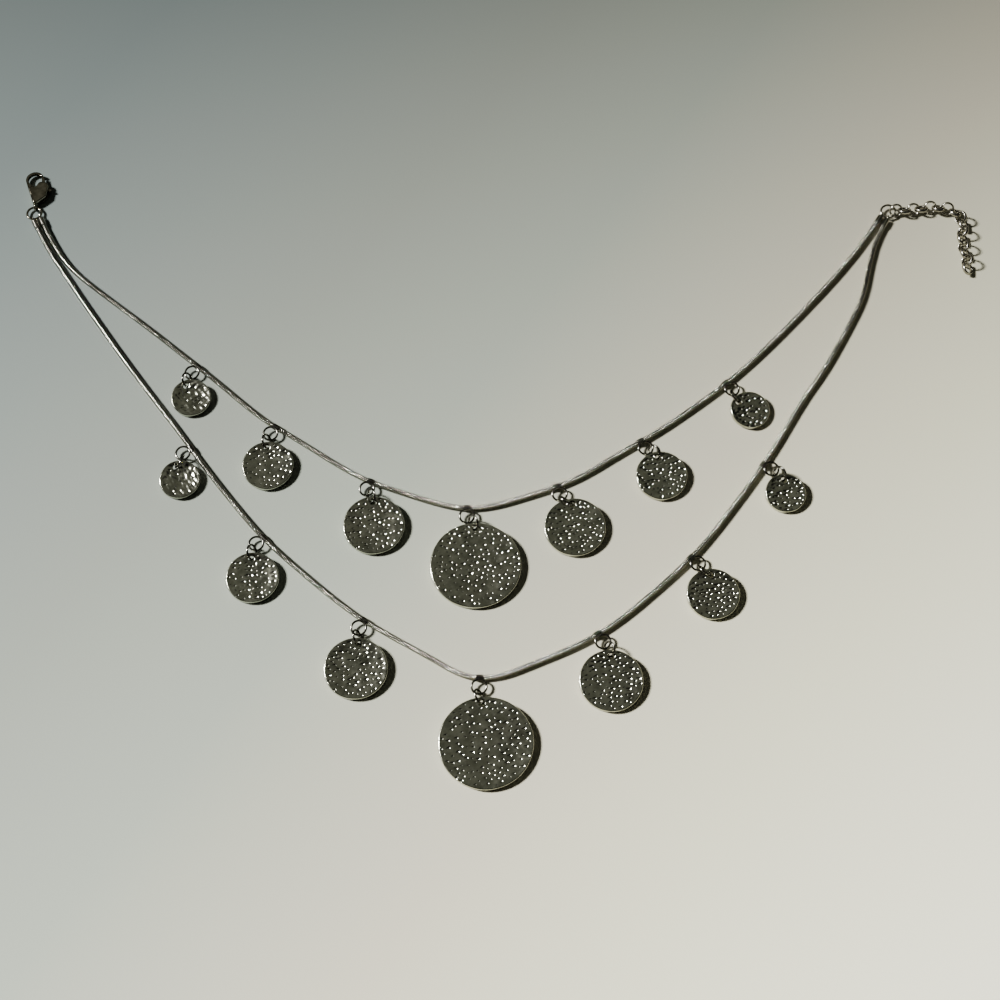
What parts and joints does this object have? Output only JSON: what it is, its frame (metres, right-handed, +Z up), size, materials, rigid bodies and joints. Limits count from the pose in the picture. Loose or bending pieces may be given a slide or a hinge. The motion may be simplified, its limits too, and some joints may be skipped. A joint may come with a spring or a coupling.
{
  "type": "layered disc necklace",
  "caption": "Layered necklace of two round snake chains hung with graduated hammered round discs on jump rings, with a lobster clasp and an extender chain, laid open",
  "frame": {"origin": "on the surface the necklace lies on, under the middle of its outline", "axes": "+Z up from the surface; +X from the clasp side to the extender side, as the wearer's strands spread; +Y from the large centre discs towards the neck opening"},
  "size_m": [0.4112, 0.2789, 0.006],
  "materials": {
    "disc_metal": "hammered, tarnished silver-grey metal with bright facets",
    "chain_metal": "polished dark silver snake chain",
    "cap_metal": "polished silver-grey metal",
    "ring_metal": "polished silver-grey wire",
    "clasp_metal": "polished dark silver casting"
  },
  "bodies": {
    "necklace": {"bail_lower_1": "ring_metal", "bail_lower_2": "ring_metal", "bail_lower_3": "ring_metal", "bail_lower_4": "ring_metal", "bail_lower_5": "ring_metal", "bail_lower_6": "ring_metal", "bail_lower_7": "ring_metal", "bail_upper_1": "ring_metal", "bail_upper_2": "ring_metal", "bail_upper_3": "ring_metal", "bail_upper_4": "ring_metal", "bail_upper_5": "ring_metal", "bail_upper_6": "ring_metal", "bail_upper_7": "ring_metal", "clasp_body": "clasp_metal", "clasp_ring": "ring_metal", "disc_lower_1": "disc_metal", "disc_lower_2": "disc_metal", "disc_lower_3": "disc_metal", "disc_lower_4": "disc_metal", "disc_lower_5": "disc_metal", "disc_lower_6": "disc_metal", "disc_lower_7": "disc_metal", "disc_upper_1": "disc_metal", "disc_upper_2": "disc_metal", "disc_upper_3": "disc_metal", "disc_upper_4": "disc_metal", "disc_upper_5": "disc_metal", "disc_upper_6": "disc_metal", "disc_upper_7": "disc_metal", "extender_chain": "ring_metal", "extender_ring": "ring_metal", "jump_ring_lower_1": "ring_metal", "jump_ring_lower_2": "ring_metal", "jump_ring_lower_3": "ring_metal", "jump_ring_lower_4": "ring_metal", "jump_ring_lower_5": "ring_metal", "jump_ring_lower_6": "ring_metal", "jump_ring_lower_7": "ring_metal", "jump_ring_upper_1": "ring_metal", "jump_ring_upper_2": "ring_metal", "jump_ring_upper_3": "ring_metal", "jump_ring_upper_4": "ring_metal", "jump_ring_upper_5": "ring_metal", "jump_ring_upper_6": "ring_metal", "jump_ring_upper_7": "ring_metal", "lower_chain": "chain_metal", "lower_left_cap": "cap_metal", "lower_right_cap": "cap_metal", "upper_chain": "chain_metal", "upper_left_cap": "cap_metal", "upper_right_cap": "cap_metal"},
    "clasp_lever": {"clasp_lever": "clasp_metal"}
  },
  "joints": [
    {"name": "clasp_lever_hinge", "type": "hinge", "parent": "necklace", "child": "clasp_lever", "pos_m": [-0.19822, 0.12673, 0.0017], "axis": [0, 0, 1], "range_deg": [0, 20], "stiffness_Nm_per_rad": 0.01, "springref_deg": -28.65}
  ]
}
